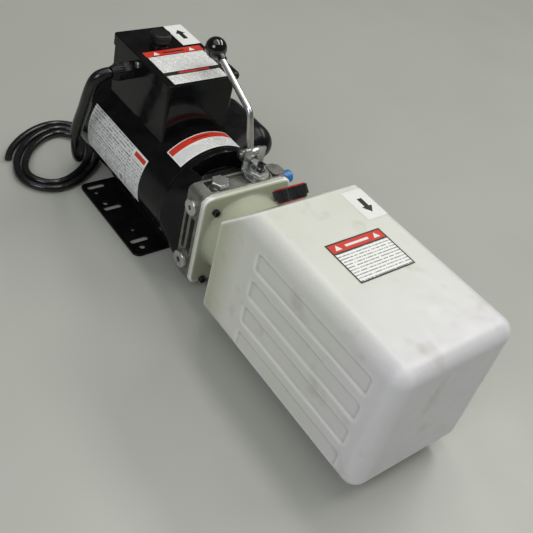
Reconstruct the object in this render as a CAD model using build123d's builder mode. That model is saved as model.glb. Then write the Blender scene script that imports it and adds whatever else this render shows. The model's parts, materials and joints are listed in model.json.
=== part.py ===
from build123d import *

import os
from math import acos, cos, pi, radians, sin, sqrt, tan

# Hydraulic power unit: an electric motor, a cast pump block and a moulded oil tank in one line.
# X runs from the motor to the closed end of the tank, Z away from the mounting plate.
# The origin is the centre of the four corner slots, on the back face of the mounting plate.
# All sizes are millimetres.

# ---- driving dimensions ----------------------------------------------------------------------
axis_z = 86.0                   # height of the shaft line above the mounting face

plate_length, plate_width, plate_thickness = 174.0, 204.0, 3.0
plate_centre_x = 9.0
slot_x, slot_y = 66.25, 80.5    # corner slots, measured from the origin
slot_width, slot_length = 9.0, 29.0
middle_slot_x = -13.0

shell_radius, shell_wall = 83.0, 3.0
shell_rear, shell_front = -113.0, 105.0
shell_bore = shell_radius - shell_wall
spigot_wall = 3.0
core_rear, core_front = -50.0, 60.0
core_bore, rotor_radius = 45.0, 44.4
slot_count = 24
shaft_core_radius, shaft_seat_radius, shaft_nose_radius = 12.0, 10.0, 8.0
bearing_outer, bearing_inner, bearing_width = 23.5, 10.0, 14.0
race_outer, race_inner = 19.0, 14.5
ball_pitch, ball_radius, groove_radius, ball_count = 16.75, 3.95, 4.05, 8
rear_bearing_x, front_bearing_x = -110.0, 107.0
bolt_circle, bolt_radius = 73.0, 3.0

box_rear, box_front = -99.5, 49.5
lid_half_width, lid_top, lid_lip, sheet = 54.0, 238.0, 16.0, 1.6
box_floor_z = 172.0
lid_screw_x, lid_screw_z = -29.5, 226.4
button_x, button_y, button_radius = -53.0, -8.0, 14.0
button_top = 256.0
grip_x, grip_z, grip_radius = -47.0, 209.0, 12.0
cord_radius, sleeve_radius, grip_bore = 5.5, 8.5, 6.6

capacitor_y, capacitor_z = 100.0, 125.0
cover_length, cover_radius = 125.0, 27.0
cover_centre_x = 21.5

block_back, block_front = 145.0, 174.0
block_half_width, block_bottom, block_top = 70.0, 12.0, 157.5
block_mid_z = (block_bottom + block_top) / 2
valve_x, valve_y = 161.0, 28.0
side_bore_x, check_z, relief_z = 159.0, 131.0, 43.0
side_bore_radius = 7.0
port_x, port_z = 160.0, 141.0
hex_x, hex_y = 159.5, -33.0

gear_centres = 24.0             # distance between the two pump gears
gear_teeth, gear_module, pressure_angle = 12, 2.0, 25.0
gear_backlash = 0.3
gear_running_gap = 0.06
pocket_back, pocket_front = 181.0, 197.0
pump_front = 211.0
journal_radius = 7.0
pump_half_width, pump_half_height = 26.0, 36.0
pump_mid_z = axis_z - gear_centres / 2

flange_front = 182.0
neck_radius, neck_bore = 60.0, 56.0
tank_back, tank_end = 237.0, 547.0
tank_half_width, tank_bottom, tank_top = 86.0, 20.0, 218.5
tank_wall, tank_edge = 3.5, 19.0
tank_draft = 4.0                # each side is this much further out at the closed end
facet_size = 46.5               # the 45 degree shoulder that carries the filler cap
panel_count, panel_pitch, panel_first_z = 4, 42.6, 159.0
panel_height, panel_depth = 26.0, 2.4
panel_rear, panel_front = 311.0, 512.0
tank_screw_y, tank_screw_low, tank_screw_high = 50.0, 17.0, 134.0

pivot_x, pivot_z = 136.0, 177.0
bend_x, bend_z = 117.6, 228.7
knob_x, knob_z, knob_radius = 24.5, 269.7, 15.0
rod_radius = 4.5

os.makedirs("parts", exist_ok=True)

shaft_axis = Axis((0, 0, axis_z), (1, 0, 0))


def across(x):
    """Plane square to the shaft at x: local x is Y, local y is height above the shaft line."""
    return Plane(origin=(x, 0, axis_z), x_dir=(0, 1, 0), z_dir=(1, 0, 0))


def across_world(x):
    """Plane square to the shaft at x, with local y measured from the mounting face."""
    return Plane(origin=(x, 0, 0), x_dir=(0, 1, 0), z_dir=(1, 0, 0))


def from_side(y, x, z):
    """Plane facing -Y at a point of the near side: local x is X, local y is Z."""
    return Plane(origin=(x, y, z), x_dir=(1, 0, 0), z_dir=(0, -1, 0))


# Half sections that are revolved about the shaft line are drawn here: local x is X, y is radius.
section = Plane(origin=(0, 0, axis_z), x_dir=(1, 0, 0), z_dir=(0, -1, 0))


def write(part, name):
    """Label a finished piece and write it to its own file."""
    part.label = name
    export_step(part, f"parts/{name}.step")


# ---- motor ---------------------------------------------------------------------------------
with BuildPart() as motor_shell:
    with BuildSketch(across(shell_rear)):
        Circle(shell_radius)
        Circle(shell_bore, mode=Mode.SUBTRACT)
    extrude(amount=shell_front - shell_rear)
    # hole under the control box for the leads
    with BuildSketch(Plane.XY.offset(axis_z)):
        with Locations((-78, 0)):
            Circle(8)
    extrude(amount=shell_radius + 2, mode=Mode.SUBTRACT)
write(motor_shell.part, "motor_shell")

slot_depth_radius = 66.0
with BuildPart() as stator_core:
    with BuildSketch(across(core_rear)):
        Circle(shell_bore)
        Circle(core_bore, mode=Mode.SUBTRACT)
        with PolarLocations((slot_depth_radius + 49) / 2, slot_count):
            Rectangle(slot_depth_radius - 49, 6, mode=Mode.SUBTRACT)
        with PolarLocations(47, slot_count):
            Rectangle(5, 3, mode=Mode.SUBTRACT)
        with PolarLocations(bolt_circle, 4, start_angle=45):
            Circle(bolt_radius + 0.6, mode=Mode.SUBTRACT)
    extrude(amount=core_front - core_rear)
write(stator_core.part, "stator_core")

coil_overhang = 24.0
with BuildPart() as stator_windings:
    with BuildSketch(across(core_rear - coil_overhang)):
        with PolarLocations((slot_depth_radius + 49) / 2, slot_count):
            Rectangle(slot_depth_radius - 50, 5)
    extrude(amount=core_front - core_rear + 2 * coil_overhang)
    for ring_start in (core_rear - coil_overhang, core_front + 1):
        with BuildSketch(across(ring_start)):
            Circle(slot_depth_radius + 2)
            Circle(48, mode=Mode.SUBTRACT)
        extrude(amount=coil_overhang - 1)
write(stator_windings.part, "stator_windings")

with BuildPart() as rotor_core:
    with BuildSketch(across(core_rear)):
        Circle(rotor_radius)
        Circle(shaft_core_radius, mode=Mode.SUBTRACT)
    extrude(amount=core_front - core_rear)
    for ring_start in (core_rear - 8, core_front):
        with BuildSketch(across(ring_start)):
            Circle(42)
            Circle(28, mode=Mode.SUBTRACT)
        extrude(amount=8)
    # short cooling blades cast on the end rings
    for blade_start in (core_rear - 18, core_front + 8):
        with BuildSketch(across(blade_start)):
            with PolarLocations(35, 10):
                Rectangle(11, 2.5)
        extrude(amount=10)
write(rotor_core.part, "rotor_core")

coupling_middle = 151.0
with BuildPart() as motor_shaft:
    with BuildSketch(section):
        with BuildLine():
            Polyline(
                (rear_bearing_x - 4, 0),
                (rear_bearing_x - 4, shaft_seat_radius),
                (rear_bearing_x + bearing_width, shaft_seat_radius),
                (rear_bearing_x + bearing_width, shaft_core_radius),
                (front_bearing_x, shaft_core_radius),
                (front_bearing_x, shaft_seat_radius),
                (front_bearing_x + bearing_width, shaft_seat_radius),
                (front_bearing_x + bearing_width, shaft_nose_radius),
                (coupling_middle, shaft_nose_radius),
                (coupling_middle, 0),
                close=True,
            )
        make_face()
    revolve(axis=shaft_axis)
write(motor_shaft.part, "motor_shaft")

bearing_starts = (rear_bearing_x, front_bearing_x)
with BuildPart() as bearing_outer_rings:
    for start in bearing_starts:
        with BuildSketch(across(start)):
            Circle(bearing_outer)
            Circle(race_outer, mode=Mode.SUBTRACT)
        extrude(amount=bearing_width)
    for start in bearing_starts:
        with BuildSketch(section):
            with Locations((start + bearing_width / 2, ball_pitch)):
                Circle(groove_radius)
        revolve(axis=shaft_axis, mode=Mode.SUBTRACT)
write(bearing_outer_rings.part, "bearing_outer_rings")

with BuildPart() as bearing_inner_rings:
    for start in bearing_starts:
        with BuildSketch(across(start)):
            Circle(race_inner)
            Circle(bearing_inner, mode=Mode.SUBTRACT)
        extrude(amount=bearing_width)
    for start in bearing_starts:
        with BuildSketch(section):
            with Locations((start + bearing_width / 2, ball_pitch)):
                Circle(groove_radius)
        revolve(axis=shaft_axis, mode=Mode.SUBTRACT)
write(bearing_inner_rings.part, "bearing_inner_rings")

with BuildPart() as bearing_balls:
    for start in bearing_starts:
        with Locations(across(start + bearing_width / 2)):
            with PolarLocations(ball_pitch, ball_count):
                Sphere(ball_radius)
write(bearing_balls.part, "bearing_balls")

rear_bell_back = -134.0
with BuildPart() as rear_bell:
    with BuildSketch(section):
        with BuildLine():
            Polyline(
                (rear_bell_back, 0),
                (rear_bell_back, shell_radius - 5),
                (rear_bell_back + 5, shell_radius),
                (shell_rear, shell_radius),
                (shell_rear, shell_bore),
                (shell_rear + 8, shell_bore),
                (shell_rear + 8, shell_bore - spigot_wall),
                (rear_bell_back + 8, shell_bore - spigot_wall),
                (rear_bell_back + 5, shell_bore - 7),
                (rear_bell_back + 5, 30),
                (rear_bearing_x + bearing_width, 30),
                (rear_bearing_x + bearing_width, bearing_outer),
                (rear_bearing_x, bearing_outer),
                (rear_bearing_x, race_outer),
                (rear_bearing_x - 10, race_outer),
                (rear_bearing_x - 10, 0),
                close=True,
            )
        make_face()
    revolve(axis=shaft_axis)
    with BuildSketch(across(rear_bell_back)):
        with PolarLocations(bolt_circle, 4, start_angle=45):
            Circle(bolt_radius + 0.3)
    extrude(amount=10, mode=Mode.SUBTRACT)
write(rear_bell.part, "rear_bell")

bell_ring = 6.0
with BuildPart() as front_bell:
    with BuildSketch(across(shell_front)):
        Circle(shell_radius)
    extrude(amount=bell_ring)
    # the casting blends from the round motor to the square pump block
    with BuildSketch(across(shell_front + bell_ring)):
        RectangleRounded(2 * shell_radius, 2 * shell_radius, shell_radius - 0.1)
    with BuildSketch(across_world(block_back)):
        with Locations((0, block_mid_z)):
            RectangleRounded(2 * block_half_width, block_top - block_bottom, 22)
    loft(ruled=True)
    # spigot inside the shell
    with BuildSketch(across(shell_front - 8)):
        Circle(shell_bore)
        Circle(shell_bore - spigot_wall, mode=Mode.SUBTRACT)
    extrude(amount=8)
    # cored pockets above and below the bearing hub, behind the square flange
    for side in (1, -1):
        with BuildSketch(across(shell_front + bell_ring + 3)):
            Rectangle(96, 2 * shell_radius)
            Circle(58, mode=Mode.SUBTRACT)
            with Locations((0, -side * shell_radius)):
                Rectangle(2 * shell_radius, 2 * shell_radius, mode=Mode.SUBTRACT)
        extrude(amount=block_back - shell_front - bell_ring - 10, mode=Mode.SUBTRACT)
    # space behind the bearing wall
    with BuildSketch(across(shell_front)):
        Circle(54)
        Circle(30, mode=Mode.SUBTRACT)
    extrude(amount=26, mode=Mode.SUBTRACT)
    with BuildSketch(across(shell_front)):
        Circle(bearing_outer)
    extrude(amount=front_bearing_x + bearing_width - shell_front, mode=Mode.SUBTRACT)
    with BuildSketch(across(shell_front)):
        Circle(race_outer + 1)
    extrude(amount=block_back - shell_front, mode=Mode.SUBTRACT)
    with BuildSketch(across(shell_front)):
        with PolarLocations(bolt_circle, 4, start_angle=45):
            Circle(bolt_radius)
    extrude(amount=12, mode=Mode.SUBTRACT)
    # flat landing under the lever bracket
    with BuildSketch(across_world(block_back - 8)):
        with Locations((valve_y, block_top + 9.5)):
            Rectangle(44, 20)
    extrude(amount=8, mode=Mode.SUBTRACT)
write(front_bell.part, "front_bell")

with BuildPart() as through_bolts:
    with BuildSketch(across(rear_bell_back)):
        with PolarLocations(bolt_circle, 4, start_angle=45):
            Circle(bolt_radius)
    extrude(amount=shell_front + 12 - rear_bell_back)
    with BuildSketch(across(rear_bell_back - 4)):
        with PolarLocations(bolt_circle, 4, start_angle=45):
            RegularPolygon(5, 6, major_radius=False)
    extrude(amount=4)
write(through_bolts.part, "through_bolts")

spare_holes = ((-52.3, 87.3, 3.5), (-25.0, 86.5, 4.0), (43.4, 78.0, 3.0), (81.0, 83.7, 4.5))
with BuildPart() as mounting_bracket:
    with BuildSketch():
        with Locations((plate_centre_x, 0)):
            RectangleRounded(plate_length, plate_width, 10)
        for x in (-slot_x, middle_slot_x, slot_x):
            with Locations((x, slot_y), (x, -slot_y)):
                SlotOverall(slot_length, slot_width, rotation=90, mode=Mode.SUBTRACT)
        for x, y, radius in spare_holes:
            with Locations((x, y), (x, -y)):
                Circle(radius, mode=Mode.SUBTRACT)
    extrude(amount=plate_thickness)
    # two saddle ribs carry the round shell
    with BuildSketch(Plane.XY.offset(plate_thickness)):
        with Locations((plate_centre_x, 44), (plate_centre_x, -44)):
            Rectangle(plate_length - 30, 4)
    extrude(amount=20)
    with BuildSketch(across(shell_rear)):
        Circle(shell_radius)
    extrude(amount=shell_front - shell_rear, mode=Mode.SUBTRACT)
write(mounting_bracket.part, "mounting_bracket")

# ---- capacitor on the far side ---------------------------------------------------------------
capacitor_rise = capacitor_z - axis_z
capacitor_reach = sqrt(capacitor_y**2 + capacitor_rise**2)
outward = (0, capacitor_y / capacitor_reach, capacitor_rise / capacitor_reach)
outward_axis = Axis((0, 0, axis_z), outward)


def radial_plane(distance):
    """Plane square to the line from the shaft to the capacitor, at a distance from the shaft."""
    origin = (cover_centre_x, outward[1] * distance, axis_z + outward[2] * distance)
    return Plane(origin=origin, x_dir=(1, 0, 0), z_dir=outward)


def cover_form(inset):
    """Rounded oblong form of the capacitor cover, smaller by an inset."""
    with BuildPart() as form:
        with BuildSketch(radial_plane(60)):
            SlotOverall(cover_length - 2 * inset, 2 * (cover_radius - inset))
        extrude(amount=capacitor_reach + cover_radius - 60 - inset)
        fillet(form.faces().sort_by(outward_axis)[-1].edges(), 22 - inset)
    return form.part


with BuildPart() as capacitor_cover:
    add(cover_form(0))
    add(cover_form(2), mode=Mode.SUBTRACT)
    with BuildSketch(across(shell_rear)):
        Circle(shell_radius)
    extrude(amount=shell_front - shell_rear, mode=Mode.SUBTRACT)
write(capacitor_cover.part, "capacitor_cover")

with BuildPart() as capacitor:
    with BuildSketch(Plane(origin=(cover_centre_x - 46, capacitor_y, capacitor_z), z_dir=(1, 0, 0))):
        Circle(20)
    extrude(amount=86)
    fillet(capacitor.edges(), 2)
    with BuildSketch(Plane(origin=(cover_centre_x + 40, capacitor_y, capacitor_z), z_dir=(1, 0, 0))):
        with Locations((0, 7), (0, -7)):
            Rectangle(6, 1)
    extrude(amount=8)
write(capacitor.part, "capacitor")

# ---- control box ------------------------------------------------------------------------------
box_length = box_front - box_rear
box_mid_x = (box_front + box_rear) / 2
box_half_width = lid_half_width - sheet
box_top = lid_top - sheet

with BuildPart() as control_box:
    with BuildSketch(Plane.XY.offset(axis_z)):
        with Locations((box_mid_x, 0)):
            RectangleRounded(box_length - 2 * sheet, 2 * box_half_width, 4)
    extrude(amount=box_top - axis_z)
    with BuildSketch(Plane.XY.offset(box_floor_z)):
        with Locations((box_mid_x, 0)):
            RectangleRounded(box_length - 4 * sheet, 2 * box_half_width - 2 * sheet, 2.4)
    extrude(amount=box_top - box_floor_z, mode=Mode.SUBTRACT)
    with BuildSketch(Plane.XY.offset(axis_z)):
        with Locations((box_mid_x, 0)):
            RectangleRounded(box_length - 4 * sheet, 2 * box_half_width - 2 * sheet, 2.4)
    extrude(amount=box_floor_z - sheet - axis_z, mode=Mode.SUBTRACT)
    with BuildSketch(across(shell_rear)):
        Circle(shell_radius)
    extrude(amount=shell_front - shell_rear, mode=Mode.SUBTRACT)
    # lead hole in the floor, gland hole in the near wall, screw holes for the lid
    with BuildSketch(Plane.XY.offset(box_floor_z - sheet)):
        with Locations((-78, 0)):
            Circle(8)
    extrude(amount=sheet, mode=Mode.SUBTRACT)
    with BuildSketch(from_side(-box_half_width + sheet + 1, grip_x, grip_z)):
        Circle(9)
    extrude(amount=sheet + 2, mode=Mode.SUBTRACT)
    with BuildSketch(from_side(lid_half_width, lid_screw_x, lid_screw_z)):
        Circle(2.4)
    extrude(amount=2 * lid_half_width, mode=Mode.SUBTRACT)
write(control_box.part, "control_box")

with BuildPart() as box_lid:
    with BuildSketch(Plane.XY.offset(lid_top - lid_lip)):
        with Locations((box_mid_x, 0)):
            RectangleRounded(box_length, 2 * lid_half_width, 5)
    extrude(amount=lid_lip)
    fillet(box_lid.faces().sort_by(Axis.Z)[-1].edges(), 1.5)
    with BuildSketch(Plane.XY.offset(lid_top - lid_lip)):
        with Locations((box_mid_x, 0)):
            RectangleRounded(box_length - 2 * sheet, 2 * box_half_width, 4)
    extrude(amount=lid_lip - sheet, mode=Mode.SUBTRACT)
    with BuildSketch(Plane.XY.offset(box_top)):
        with Locations((button_x, button_y)):
            Circle(8)
    extrude(amount=sheet, mode=Mode.SUBTRACT)
    with BuildSketch(from_side(lid_half_width, lid_screw_x, lid_screw_z)):
        Circle(2.4)
    extrude(amount=2 * lid_half_width, mode=Mode.SUBTRACT)
write(box_lid.part, "box_lid")

with BuildPart() as lid_screws:
    for side in (1, -1):
        with BuildSketch(Plane(origin=(lid_screw_x, side * lid_half_width, lid_screw_z), z_dir=(0, side, 0))):
            Circle(4.5)
        extrude(amount=2.6)
        fillet(lid_screws.faces().sort_by(Axis.Y)[-1 if side > 0 else 0].edges(), 1.2)
        screw_seat = (lid_screw_x, side * lid_half_width, lid_screw_z)
        with BuildSketch(Plane(origin=screw_seat, z_dir=(0, -side, 0))):
            Circle(2.4)
        extrude(amount=7)
write(lid_screws.part, "lid_screws")

with BuildPart() as start_switch:
    with BuildSketch(Plane.XY.offset(box_floor_z)):
        with Locations((button_x, button_y)):
            RectangleRounded(46, 36, 2)
    extrude(amount=50)
    with BuildSketch(Plane.XY.offset(box_floor_z + 24)):
        with Locations((button_x, button_y)):
            Circle(5.2)
    extrude(amount=26, mode=Mode.SUBTRACT)
    # terminal channels along both long sides
    with BuildSketch(Plane.XY.offset(box_floor_z + 30)):
        with Locations((button_x, button_y + 16), (button_x, button_y - 16)):
            with GridLocations(11, 1, 4, 1):
                Rectangle(8, 6)
    extrude(amount=20, mode=Mode.SUBTRACT)
write(start_switch.part, "start_switch")

cap_base = 245.0
with BuildPart() as start_button:
    with BuildSketch(Plane.XY.offset(cap_base)):
        with Locations((button_x, button_y)):
            Circle(button_radius)
    extrude(amount=button_top - cap_base)
    fillet(start_button.faces().sort_by(Axis.Z)[-1].edges(), 2.5)
    with BuildSketch(Plane.XY.offset(cap_base + 4.5)):
        with Locations((button_x, button_y)):
            Circle(button_radius + 1)
            Circle(button_radius - 1.2, mode=Mode.SUBTRACT)
    extrude(amount=1.6, mode=Mode.SUBTRACT)
    with BuildSketch(Plane.XY.offset(204)):
        with Locations((button_x, button_y)):
            Circle(5)
    extrude(amount=cap_base - 204)
write(start_button.part, "start_button")

button_axis = Axis((button_x, button_y, 0), (0, 0, 1))
with BuildPart() as button_boot:
    with BuildSketch(Plane(origin=(button_x, button_y, 0), x_dir=(1, 0, 0), z_dir=(0, -1, 0))):
        with BuildLine():
            Polyline(
                (5.4, lid_top),
                (button_radius, lid_top),
                (button_radius, lid_top + 2.4),
                (10.5, lid_top + 2.8),
                (12.5, lid_top + 4.0),
                (10.5, lid_top + 5.2),
                (12.5, lid_top + 6.4),
                (11.5, cap_base - 0.1),
                (5.4, cap_base - 0.1),
                close=True,
            )
        make_face()
    revolve(axis=button_axis)
write(button_boot.part, "button_boot")

with BuildPart() as overload_cover:
    with BuildSketch(Plane(origin=(16, lid_half_width, 225), x_dir=(1, 0, 0), z_dir=(0, 1, 0))):
        SlotOverall(36, 13)
    extrude(amount=18)
    fillet(overload_cover.faces().sort_by(Axis.Y)[-1].edges(), 5)
write(overload_cover.part, "overload_cover")

# ---- supply cord ----------------------------------------------------------------------------
gland_end = -84.0
with BuildPart() as cord_grip:
    with BuildSketch(from_side(-box_half_width, grip_x, grip_z)):
        Circle(grip_radius)
    extrude(amount=4)
    with BuildSketch(from_side(-box_half_width - 4, grip_x, grip_z)):
        RegularPolygon(grip_radius - 0.6, 6, major_radius=False, rotation=30)
    extrude(amount=10)
    with BuildSketch(from_side(-box_half_width + 8, grip_x, grip_z)):
        Circle(9)
    extrude(amount=8)
    with BuildSketch(from_side(-box_half_width + 8, grip_x, grip_z)):
        Circle(grip_bore)
    extrude(amount=30, mode=Mode.SUBTRACT)
write(cord_grip.part, "cord_grip")

with BuildPart() as grip_nut:
    with BuildSketch(from_side(-box_half_width - 14, grip_x, grip_z)):
        Circle(grip_radius)
        with PolarLocations(grip_radius, 20):
            Circle(0.8, mode=Mode.SUBTRACT)
    extrude(amount=10)
    with BuildSketch(from_side(-box_half_width - 24, grip_x, grip_z)):
        Circle(grip_radius - 0.8)
    with BuildSketch(from_side(gland_end, grip_x, grip_z)):
        Circle(sleeve_radius)
    loft()
    with BuildSketch(from_side(-box_half_width - 14, grip_x, grip_z)):
        Circle(grip_bore)
    extrude(amount=30, mode=Mode.SUBTRACT)
write(grip_nut.part, "grip_nut")

# The cord hangs from the gland inside a loose sleeve, then lies in a flat coil beside the motor.
coil_turns, coil_steps = 2.5, 8
coil_long, coil_short, coil_tilt = 97.0, 67.0, radians(-44)
coil_centre = (-153.0, -104.0)
coil_start = radians(112)
coil_z = cord_radius + 0.7


def coil_point(turn):
    """Point of the coil, a number of turns after the inner end."""
    angle = coil_start + 2 * pi * turn
    along = (coil_long - 13.5 * (coil_turns - turn)) * cos(angle)
    aside = (coil_short - 13.0 * (coil_turns - turn)) * sin(angle)
    x = coil_centre[0] + along * cos(coil_tilt) - aside * sin(coil_tilt)
    y = coil_centre[1] + along * sin(coil_tilt) + aside * cos(coil_tilt)
    return (x, y, coil_z)


cord_start = -30.0
hanging_points = (
    (grip_x, cord_start, grip_z),
    (grip_x, (cord_start + gland_end) / 2, grip_z),
    (grip_x, gland_end, grip_z),
    (grip_x - 3, -101, grip_z - 6),
    (grip_x - 7, -107, grip_z - 21),
    (-67, -108, 150),
    (-87, -108, 92),
    (-92, -106, 64),
    (-102, -98, 40),
    (-117, -86, 21),
    (-128, -77, 12.5),
)
coil_points = [coil_point(step / coil_steps) for step in range(int(coil_turns * coil_steps) + 1)]
with BuildLine():
    cord_path = Spline(*hanging_points, *coil_points)
sleeve_start = cord_path.param_at_point((grip_x, gland_end, grip_z)) + 2 / cord_path.length
sleeve_end = cord_path.param_at_point((-87, -108, 92))

with BuildPart() as power_cord:
    with BuildSketch(from_side(cord_start, grip_x, grip_z)):
        Circle(cord_radius)
    sweep(path=cord_path)
write(power_cord.part, "power_cord")

sleeve_path = cord_path.trim(sleeve_start, sleeve_end)
with BuildPart() as cord_sleeve:
    with BuildSketch(Plane(origin=sleeve_path @ 0, z_dir=sleeve_path % 0)):
        Circle(sleeve_radius)
        Circle(cord_radius + 0.05, mode=Mode.SUBTRACT)
    sweep(path=sleeve_path)
write(cord_sleeve.part, "cord_sleeve")

# ---- pump block --------------------------------------------------------------------------------
boss_top = 158.0
block_depth = block_front - block_back

with BuildPart() as pump_block:
    with BuildSketch(across_world(block_back)):
        with Locations((0, block_mid_z)):
            RectangleRounded(2 * block_half_width, block_top - block_bottom, 9)
    extrude(amount=block_depth)
    # sunken top face inside a rim
    with BuildSketch(Plane.XY.offset(block_top - 6)):
        with Locations((block_back + block_depth / 2, 3)):
            RectangleRounded(block_depth - 6, 110, 3)
    extrude(amount=8, mode=Mode.SUBTRACT)
    # round seat of the release valve, cut off by both faces of the block
    with BuildSketch(Plane.XY.offset(block_top - 10)):
        with Locations((valve_x, valve_y)):
            Circle(19)
        with Locations((block_back - 20, valve_y), (block_front + 20, valve_y)):
            Rectangle(40, 60, mode=Mode.SUBTRACT)
    extrude(amount=boss_top - block_top + 10)
    with BuildSketch(Plane.XY.offset(boss_top - 2)):
        with Locations((valve_x, valve_y)):
            Circle(16.4)
            Circle(14.6, mode=Mode.SUBTRACT)
        with Locations((block_back - 20, valve_y), (block_front + 20, valve_y)):
            Rectangle(40, 60, mode=Mode.SUBTRACT)
    extrude(amount=2, mode=Mode.SUBTRACT)
    # seat of the hexagon plug and raised corner over the outlet port
    with BuildSketch(Plane.XY.offset(block_top - 10)):
        with Locations((hex_x, hex_y)):
            Circle(12)
    extrude(amount=8)
    with BuildSketch(Plane.XY.offset(block_top - 10)):
        with Locations((port_x, 58)):
            RectangleRounded(20, 20, 6)
    extrude(amount=12)
    # weight-saving pockets in both sides, with one rib between them
    for side in (1, -1):
        for pocket_x, pocket_width in ((152.5, 7.0), (165.5, 9.0)):
            pocket_face = (pocket_x, side * block_half_width, 87)
            with BuildSketch(Plane(origin=pocket_face, x_dir=(1, 0, 0), z_dir=(0, side, 0))):
                Rectangle(pocket_width, 58)
            extrude(amount=-16, mode=Mode.SUBTRACT)
    # round seats of the two side plugs
    for seat_z, seat_radius, seat_height in ((check_z, 12.0, 1.0), (relief_z, 13.0, 1.5)):
        with BuildSketch(from_side(-block_half_width + 6, side_bore_x, seat_z)):
            Circle(seat_radius)
        extrude(amount=6 + seat_height)
    # shaft bore, seal seat and shaft hole
    for start, end, radius in ((block_back, 164, 20), (164, 171, 14), (171, block_front, 8)):
        with BuildSketch(across(start)):
            Circle(radius)
        extrude(amount=end - start, mode=Mode.SUBTRACT)
    # side bores: check valve above, relief valve below
    bore_mouth = -block_half_width - 6
    for bore_z, shoulder_y, seat_radius, seat_end in ((check_z, -34, 3.5, -12), (relief_z, -24, 3.0, -8)):
        with BuildSketch(from_side(shoulder_y, side_bore_x, bore_z)):
            Circle(side_bore_radius)
        extrude(amount=shoulder_y - bore_mouth, mode=Mode.SUBTRACT)
        with BuildSketch(from_side(seat_end, side_bore_x, bore_z)):
            Circle(seat_radius)
        extrude(amount=seat_end - shoulder_y, mode=Mode.SUBTRACT)
    # outlet port on the far side
    with BuildSketch(Plane(origin=(port_x, 46, port_z), z_dir=(0, 1, 0))):
        Circle(side_bore_radius)
    extrude(amount=40, mode=Mode.SUBTRACT)
    # release valve bore and hexagon plug bore from the top
    with BuildSketch(Plane.XY.offset(122)):
        with Locations((valve_x, valve_y)):
            Circle(8)
    extrude(amount=60, mode=Mode.SUBTRACT)
    with BuildSketch(Plane.XY.offset(114)):
        with Locations((valve_x, valve_y)):
            Circle(3)
    extrude(amount=10, mode=Mode.SUBTRACT)
    with BuildSketch(Plane.XY.offset(138)):
        with Locations((hex_x, hex_y)):
            Circle(6.5)
    extrude(amount=30, mode=Mode.SUBTRACT)
    with BuildSketch(Plane.XY.offset(block_top - 10)):
        with Locations((hex_x - 9.5, hex_y - 13)):
            Circle(2)
    extrude(amount=20, mode=Mode.SUBTRACT)
    # threads for the tank screws and the pump bolts, suction and return passages
    with BuildSketch(across_world(block_front - 6)):
        for z in (tank_screw_low, tank_screw_high):
            with Locations((tank_screw_y, z), (-tank_screw_y, z)):
                Circle(3)
        with Locations((0, pump_mid_z)):
            with GridLocations(40, 60, 2, 2):
                Circle(3)
        with Locations((-42, axis_z)):
            Circle(5)
    extrude(amount=6, mode=Mode.SUBTRACT)
write(pump_block.part, "pump_block")

seal_clearance = 0.05
with BuildPart() as shaft_seal:
    with BuildSketch(across(164)):
        Circle(14)
        Circle(journal_radius + seal_clearance, mode=Mode.SUBTRACT)
    extrude(amount=7)
    with BuildSketch(across(166)):
        Circle(12)
        Circle(9, mode=Mode.SUBTRACT)
    extrude(amount=5, mode=Mode.SUBTRACT)
write(shaft_seal.part, "shaft_seal")

with BuildPart() as shaft_coupling:
    with BuildSketch(across(135)):
        Circle(16)
        Circle(shaft_nose_radius, mode=Mode.SUBTRACT)
    extrude(amount=coupling_middle - 135)
    with BuildSketch(across(coupling_middle)):
        Circle(16)
        Circle(journal_radius, mode=Mode.SUBTRACT)
    extrude(amount=12)
    chamfer(shaft_coupling.faces().sort_by(Axis.X)[0].outer_wire().edges(), 1.5)
    chamfer(shaft_coupling.faces().sort_by(Axis.X)[-1].outer_wire().edges(), 1.5)
write(shaft_coupling.part, "shaft_coupling")

# ---- gear pump -----------------------------------------------------------------------------------
pitch_radius = gear_module * gear_teeth / 2
base_radius = pitch_radius * cos(radians(pressure_angle))
tip_radius = pitch_radius + 0.95 * gear_module
root_radius = pitch_radius - 1.2 * gear_module


def involute(alpha):
    """Involute function of a pressure angle in radians."""
    return tan(alpha) - alpha


half_tooth = (pi / (2 * gear_teeth) - gear_backlash / (4 * pitch_radius)
              + involute(radians(pressure_angle)))


def flank_point(radius, side):
    """Point of a tooth flank at a radius, for a tooth that points along local x."""
    angle = side * (half_tooth - involute(acos(min(1.0, base_radius / radius))))
    return (radius * cos(angle), radius * sin(angle))


def gear_profile(turn):
    """Sketch of one gear in the current plane, turned by an angle in degrees."""
    flank_radii = [base_radius + (tip_radius - base_radius) * step / 5 for step in range(6)]
    with BuildSketch(mode=Mode.PRIVATE) as profile:
        Circle(root_radius)
        with BuildSketch(mode=Mode.PRIVATE) as tooth:
            with BuildLine():
                lower = Spline(*[flank_point(radius, -1) for radius in flank_radii])
                upper = Spline(*[flank_point(radius, 1) for radius in flank_radii])
                ThreePointArc(lower @ 1, (tip_radius, 0), upper @ 1)
                Polyline(
                    lower @ 0,
                    (root_radius - 1, (lower @ 0).Y),
                    (root_radius - 1, (upper @ 0).Y),
                    upper @ 0,
                )
            make_face()
        for tooth_number in range(gear_teeth):
            add(tooth.sketch.rotate(Axis.Z, turn + 360 / gear_teeth * tooth_number))
    return profile.sketch


driven_drop = -gear_centres
with BuildPart() as drive_gear:
    with BuildSketch(across(pocket_back + gear_running_gap)):
        add(gear_profile(90))
    extrude(amount=pocket_front - pocket_back - 2 * gear_running_gap)
    with BuildSketch(across(coupling_middle)):
        Circle(journal_radius)
    extrude(amount=209 - coupling_middle)
write(drive_gear.part, "drive_gear")

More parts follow.
